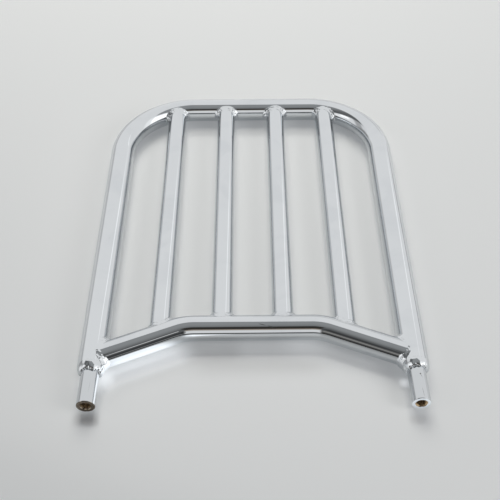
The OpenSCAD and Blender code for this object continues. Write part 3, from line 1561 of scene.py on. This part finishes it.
PAINTED_FLOOR_POOLS = (
    # Painted light below the left leaning end, beside its weld and beside the right stub.
    PaintedFloorPool((-0.085, -0.1305), (0.040, 0.007), (0.010, 0.006), 22.8, 0.24),
    PaintedFloorPool((-0.105, -0.140), (0.004, 0.008), (0.005, 0.010), 14.0, 0.13),
    PaintedFloorPool((0.1075, -0.1445), (0.003, 0.003), (0.003, 0.003), 0.0, 0.26),
    # Painted shade under the left stub, and painted shade and light in front of the crossbar.
    PaintedFloorPool((-0.116, -0.1712), (0.0075, 0.005), (0.004, 0.004), 0.0, -0.158),
    PaintedFloorPool((-0.032, -0.1155), (0.022, 0.008), (0.008, 0.007), 0.0, -0.06),
    PaintedFloorPool((0.040, -0.1120), (0.014, 0.010), (0.012, 0.009), 0.0, 0.06),
    PaintedFloorPool((0.004, -0.1290), (0.046, 0.007), (0.014, 0.009), 0.0, -0.075),
    # Painted reflection: floor glow that shows only in the left leaning end and on the right stub's
    # face.
    PaintedFloorPool((-0.060, -0.173), (0.025, 0.058), (0.009, 0.012), 22.8, 0.95, True),
    PaintedFloorPool((0.116, -0.190), (0.020, 0.020), (0.008, 0.010), 0.0, 0.8, True),
)


@dataclass
class Studio:
    """The camera, the floor and the light round the rack."""

    lens: float = 60.76
    pitch: float = math.radians(47.02)
    yaw: float = math.radians(0.15)
    roll: float = math.radians(-0.66)
    place: tuple[float, float, float] = (-0.00036, -0.48407, 0.50449)
    tent_level: float = 0.97
    backdrop: Colour = (0.64, 0.65, 0.645)
    fill: Colour = (0.131, 0.1355, 0.1445)
    self_light: float = 0.158
    self_colour: Colour = (0.94, 0.97, 1.0)
    floor_colour: Colour = (0.80, 0.807, 0.802)
    floor_rough: float = 0.17
    floor_shine: float = 0.9
    floor_half: float = 4.0
    floor_drop: float = 0.05 * MM
    fade_centre: tuple[float, float, float] = (0.0, 0.10, 0.0)
    floor_fades: tuple[float, float] = (0.46, 0.92)
    board_height: float = 1.09
    board_corners: tuple[tuple[float, float], ...] = (
        (-1.06, 0.62), (0.69, 0.0155), (0.27, -1.35), (-0.8, -1.35), (-1.01, -0.35),
    )
    board_colour: Colour = (0.97, 0.99, 1.0)
    board_rear_to_front: tuple[float, float, float, float] = (-0.05, -1.2, 0.355, 0.115)
    board_right_to_left: tuple[float, float, float, float] = (-0.1, -0.62, 1.0, 0.45)
    card_half: float = 0.18
    card_rear: tuple[float, float] = (-0.56, 0.86)
    card_front: tuple[float, float] = (-1.20, 1.03)
    card_colour: Colour = (1.0, 0.9, 0.8)
    card_level: float = 0.045
    softboxes: tuple[Softbox, ...] = (
        Softbox("softbox_rear", (-0.06, 0.80, 0.96), 0.75, 6.85, (1.0, 0.99, 0.935)),
        Softbox("softbox_right", (0.955, -0.551, 0.689), 0.5, 3.1),
        Softbox("softbox_left", (-1.02, -0.413, 0.689), 0.4, 0.9),
    )

    def camera(self) -> None:
        """Sets the camera at the photograph's viewing angle."""
        data = bpy.data.cameras.new("camera")
        data.lens = self.lens
        data.sensor_width = 36.0
        data.clip_start, data.clip_end = 0.01, 60.0
        camera = place_object("camera", data)
        view = Vector((
            -math.sin(self.yaw) * math.cos(self.pitch),
            math.cos(self.yaw) * math.cos(self.pitch),
            -math.sin(self.pitch),
        ))
        right = view.cross(UP).normalized()
        up = right.cross(view)
        turned_right = right * math.cos(self.roll) + up * math.sin(self.roll)
        turned_up = up * math.cos(self.roll) - right * math.sin(self.roll)
        basis = Matrix((turned_right, turned_up, -view)).transposed()
        camera.matrix_world = Matrix.Translation(self.place) @ basis.to_4x4()
        bpy.context.scene.camera = camera

    @staticmethod
    def sheet(name: str, corners: list[Vector]) -> Object:
        """Makes a flat sheet for the studio.

        Args:
            name: Its name.
            corners: Its corners, in order.

        Returns:
            The sheet's object.
        """
        mesh = bmesh.new()
        verts = [mesh.verts.new(corner) for corner in corners]
        edges = [mesh.edges.new(pair) for pair in zip(verts, verts[1:] + verts[:1])]
        bmesh.ops.edgenet_fill(mesh, edges=edges)
        data = bpy.data.meshes.new(name)
        mesh.to_mesh(data)
        mesh.free()
        sheet = place_object(name, data)
        return sheet

    def glowing_sheet(self, name: str, corners: list[Vector]) -> tuple[Graph, Node]:
        """Hangs a sheet that only glows, and hides it from all but mirror rays.

        Args:
            name: Its name.
            corners: Its corners, in order.

        Returns:
            The graph of its material, and its emission node.
        """
        sheet = self.sheet(name, corners)
        sheet.visible_camera = False
        sheet.visible_diffuse = False
        sheet.visible_shadow = False
        material, graph = new_material(name)
        material.node_tree.nodes.clear()
        glow = graph.node("ShaderNodeEmission")
        graph.node("ShaderNodeOutputMaterial", {"Surface": glow.outputs[0]})
        sheet.data.materials.append(material)
        return graph, glow

    def floor(self) -> None:
        """Lays the pale, slightly glossy floor, which turns into the backdrop far out."""
        half = self.floor_half
        around = ((-half, -half), (half, -half), (half, half), (-half, half))
        floor = self.sheet("floor", [Vector((x, y, -self.floor_drop)) for x, y in around])
        material, graph = new_material("pale_floor")
        shader = material.node_tree.nodes["Principled BSDF"]
        where = graph.here()
        parts = graph.parts(where)
        rays = graph.node("ShaderNodeLightPath")
        glow: object = 0.0
        # Painted light and shade: each pool adds to or takes from the floor's glow.
        for pool in PAINTED_FLOOR_POOLS:
            level: object = pool.level
            # A painted-reflection pool glows only for rays off the chrome.
            if pool.painted_reflection:
                level = graph.maths("MULTIPLY", level, rays.outputs["Is Glossy Ray"])
            glow = graph.maths("ADD", glow, self.painted_pool_light(graph, pool, parts, level))
        graph.fill(shader, {
            "Base Color": self.floor_colour,
            "Roughness": self.floor_rough,
            "Specular IOR Level": self.floor_shine,
            "Emission Color": self.self_colour,
            "Emission Strength": graph.maths(
                "MAXIMUM", graph.maths("ADD", glow, self.self_light), 0.0
            ),
        })
        away = graph.node(
            "ShaderNodeVectorMath", {0: where, 1: self.fade_centre}, operation="DISTANCE"
        ).outputs["Value"]
        far = graph.node("ShaderNodeEmission", {"Color": self.backdrop})
        faded = graph.node("ShaderNodeMixShader", {
            "Fac": graph.steps(away, *self.floor_fades), 1: shader.outputs[0], 2: far.outputs[0],
        })
        graph.fill(material.node_tree.nodes["Material Output"], {"Surface": faded.outputs[0]})
        floor.data.materials.append(material)

    @staticmethod
    def painted_pool_light(
        graph: Graph, pool: PaintedFloorPool, parts: Sockets, level: object
    ) -> NodeSocket:
        """Shapes one painted pool of light or shade.

        Args:
            graph: The floor's graph.
            pool: The pool.
            parts: The sockets of the place's X, Y and Z.
            level: Its strength.

        Returns:
            The painted light it adds, or painted shade where its level is below 0.
        """
        turn = math.radians(pool.turn)
        lit = level
        for axis, half, soft in (
            ((math.cos(turn), math.sin(turn)), pool.half[0], pool.soft[0]),
            ((-math.sin(turn), math.cos(turn)), pool.half[1], pool.soft[1]),
        ):
            start = pool.place[0] * axis[0] + pool.place[1] * axis[1]
            along = graph.maths(
                "ADD",
                graph.maths("MULTIPLY", parts["X"], axis[0]),
                graph.maths("MULTIPLY", parts["Y"], axis[1]),
            )
            off = graph.maths("ABSOLUTE", graph.maths("SUBTRACT", along, start))
            lit = graph.maths("MULTIPLY", lit, graph.steps(off, half - soft, half + soft, 1.0, 0.0))
        return lit

    def board(self) -> None:
        """Hangs the grey board over the rack, whose rear edge shows in the chrome."""
        corners = [Vector((x, y, self.board_height)) for x, y in self.board_corners]
        graph, glow = self.glowing_sheet("grey_board", corners)
        parts = graph.parts(graph.here())
        along = graph.steps(parts["Y"], *self.board_rear_to_front)
        across = graph.steps(parts["X"], *self.board_right_to_left)
        level = graph.maths("MULTIPLY", along, across)
        graph.fill(glow, {"Color": self.board_colour, "Strength": level})

    def black_card(self) -> None:
        """Hangs the dark card that shows as the black line on the tubes across the rack."""
        half, rear, front = self.card_half, self.card_rear, self.card_front
        corners = [
            Vector((-half, *rear)), Vector((half, *rear)),
            Vector((half, *front)), Vector((-half, *front)),
        ]
        graph, glow = self.glowing_sheet("black_card", corners)
        graph.fill(glow, {"Color": self.card_colour, "Strength": self.card_level})

    def lamps(self) -> None:
        """Sets up the lamps that light the floor."""
        for box in self.softboxes:
            data = bpy.data.lights.new(box.name, "AREA")
            data.shape = "SQUARE"
            data.size = box.size
            data.energy = box.power
            data.color = box.colour
            lamp = place_object(box.name, data)
            place = Vector(box.place)
            aim = place.to_track_quat("Z", "Y").to_matrix().to_4x4()
            lamp.matrix_world = Matrix.Translation(place) @ aim
            lamp.visible_glossy = False

    def tent(self) -> None:
        """Lights the tent round the rack, panel by panel."""
        world = bpy.data.worlds.new("tent")
        bpy.context.scene.world = world
        world.use_nodes = True
        graph = Graph(world.node_tree)
        parts = graph.parts(graph.node("ShaderNodeTexCoord").outputs["Generated"])
        forward = graph.maths("MULTIPLY", parts["Y"], -1.0)
        azimuth = graph.maths("DEGREES", graph.maths("ARCTAN2", parts["X"], forward))
        tilt = graph.maths("DEGREES", graph.maths("ARCCOSINE", parts["Z"]))
        panel_group = self.panel_group()
        colour: object = (self.tent_level,) * 3
        for panel in TENT_PANELS:
            mask = graph.node("ShaderNodeGroup", {
                "Azimuth": azimuth,
                "Azimuth centre": panel.azimuth,
                "Azimuth half": panel.azimuth_half,
                "Azimuth soft": panel.soft_azimuth,
                "Tilt": tilt,
                "Tilt centre": panel.tilt,
                "Tilt half": panel.tilt_half,
                "Tilt soft": panel.soft_tilt,
            }, node_tree=panel_group).outputs["Mask"]
            colour = graph.blend(mask, colour, tuple(part * panel.level for part in panel.colour))
        rays = graph.node("ShaderNodeLightPath")
        seen = graph.blend(rays.outputs["Is Glossy Ray"], self.fill, colour)
        seen = graph.blend(rays.outputs["Is Camera Ray"], seen, self.backdrop)
        graph.fill(world.node_tree.nodes["Background"], {"Color": seen, "Strength": 1.0})

    @staticmethod
    def panel_group() -> NodeTree:
        """Builds the mask of a soft-edged patch in the tent.

        Returns:
            The group. Its mask is 1 inside the patch.
        """
        words = ("Azimuth", "Tilt")
        graph = Group("tent_panel", "Mask", {
            word + end: 0.0 for word in words for end in ("", " centre", " half", " soft")
        })
        given = graph.given
        masks = []
        for word in words:
            off = graph.maths("SUBTRACT", given[word], given[f"{word} centre"])
            off = graph.maths("ABSOLUTE", off)
            edges = given[f"{word} half"], given[f"{word} soft"]
            inner, outer = graph.maths("SUBTRACT", *edges), graph.maths("ADD", *edges)
            masks.append(graph.steps(off, inner, outer, 1.0, 0.0))
        return graph.closed(graph.maths("MULTIPLY", *masks))


# Two thin lines on the crossbar's top and a spot at its left bend: dents darkened as painted
# reflection.
TUBE_DENTS_AND_PAINTED_REFLECTIONS = (
    Mark((0.0068, -0.1055, 0.0187), (0.0034, 0.0003, 0.0006), -14.0, 0.7),
    Mark((0.0132, -0.1069, 0.0181), (0.0035, 0.00025, 0.0006), -11.0, 0.5),
    Mark((-0.0503, -0.1100, 0.0159), (0.0022, 0.0009, 0.0012), 15.0, 0.45),
)
# Streaks on the stubs' tops: slight dents darkened as painted reflection.
STUB_DENTS_AND_PAINTED_REFLECTIONS = (
    Mark((0.1161, -0.1481, 0.0165), (0.0006, 0.0007, 0.0008), 0.0, 1.0),
    Mark((0.1166, -0.1497, 0.0165), (0.00018, 0.0019, 0.0007), 18.0, 0.6),
    Mark((0.1160, -0.1630, 0.0166), (0.00022, 0.0042, 0.0005), 4.0, 0.45),
    Mark((-0.1130, -0.1560, 0.0162), (0.00015, 0.0050, 0.0006), -3.0, 0.2),
)


def main() -> None:
    """Builds the studio and the rack, piece by piece."""
    bpy.context.scene.view_settings.view_transform = "Standard"
    studio = Studio()
    studio.camera()
    studio.floor()
    studio.board()
    studio.black_card()
    studio.lamps()
    studio.tent()
    effects = Effects()
    plating = ChromeFinish("chrome_tube", marks=TUBE_DENTS_AND_PAINTED_REFLECTIONS).make(effects)
    stub_plating = StubFinish(
        "chrome_stub", tint=(0.575, 0.597, 0.616), hazed_tint=(0.54, 0.562, 0.584),
        marks=STUB_DENTS_AND_PAINTED_REFLECTIONS,
    ).make(effects)
    bead_plating = ChromeFinish(
        "chrome_bead", clean=0.03, hazed=0.08, waves=240.0, wave_height=0.012 * MM,
        speck_grid=420.0, speck_size=0.14, speck_share=0.05,
    ).make(effects)
    Hoop().build(plating)
    Crossbar().build(plating)
    for number in range(1, 5):
        Slat(number).build(plating)
        slat_bead(number, BeadPlace.REAR).build(bead_plating)
        slat_bead(number, BeadPlace.FRONT).build(bead_plating)
    for side in Side:
        # Only the left stub gets the dull face, darkened as painted shade.
        ThreadedStub(side, 1.0 if side is Side.LEFT else 0.0).build(stub_plating)
        crossbar_bead(side).build(bead_plating)
        RingWeld(side).build(bead_plating)


if __name__ == "__main__":
    main()
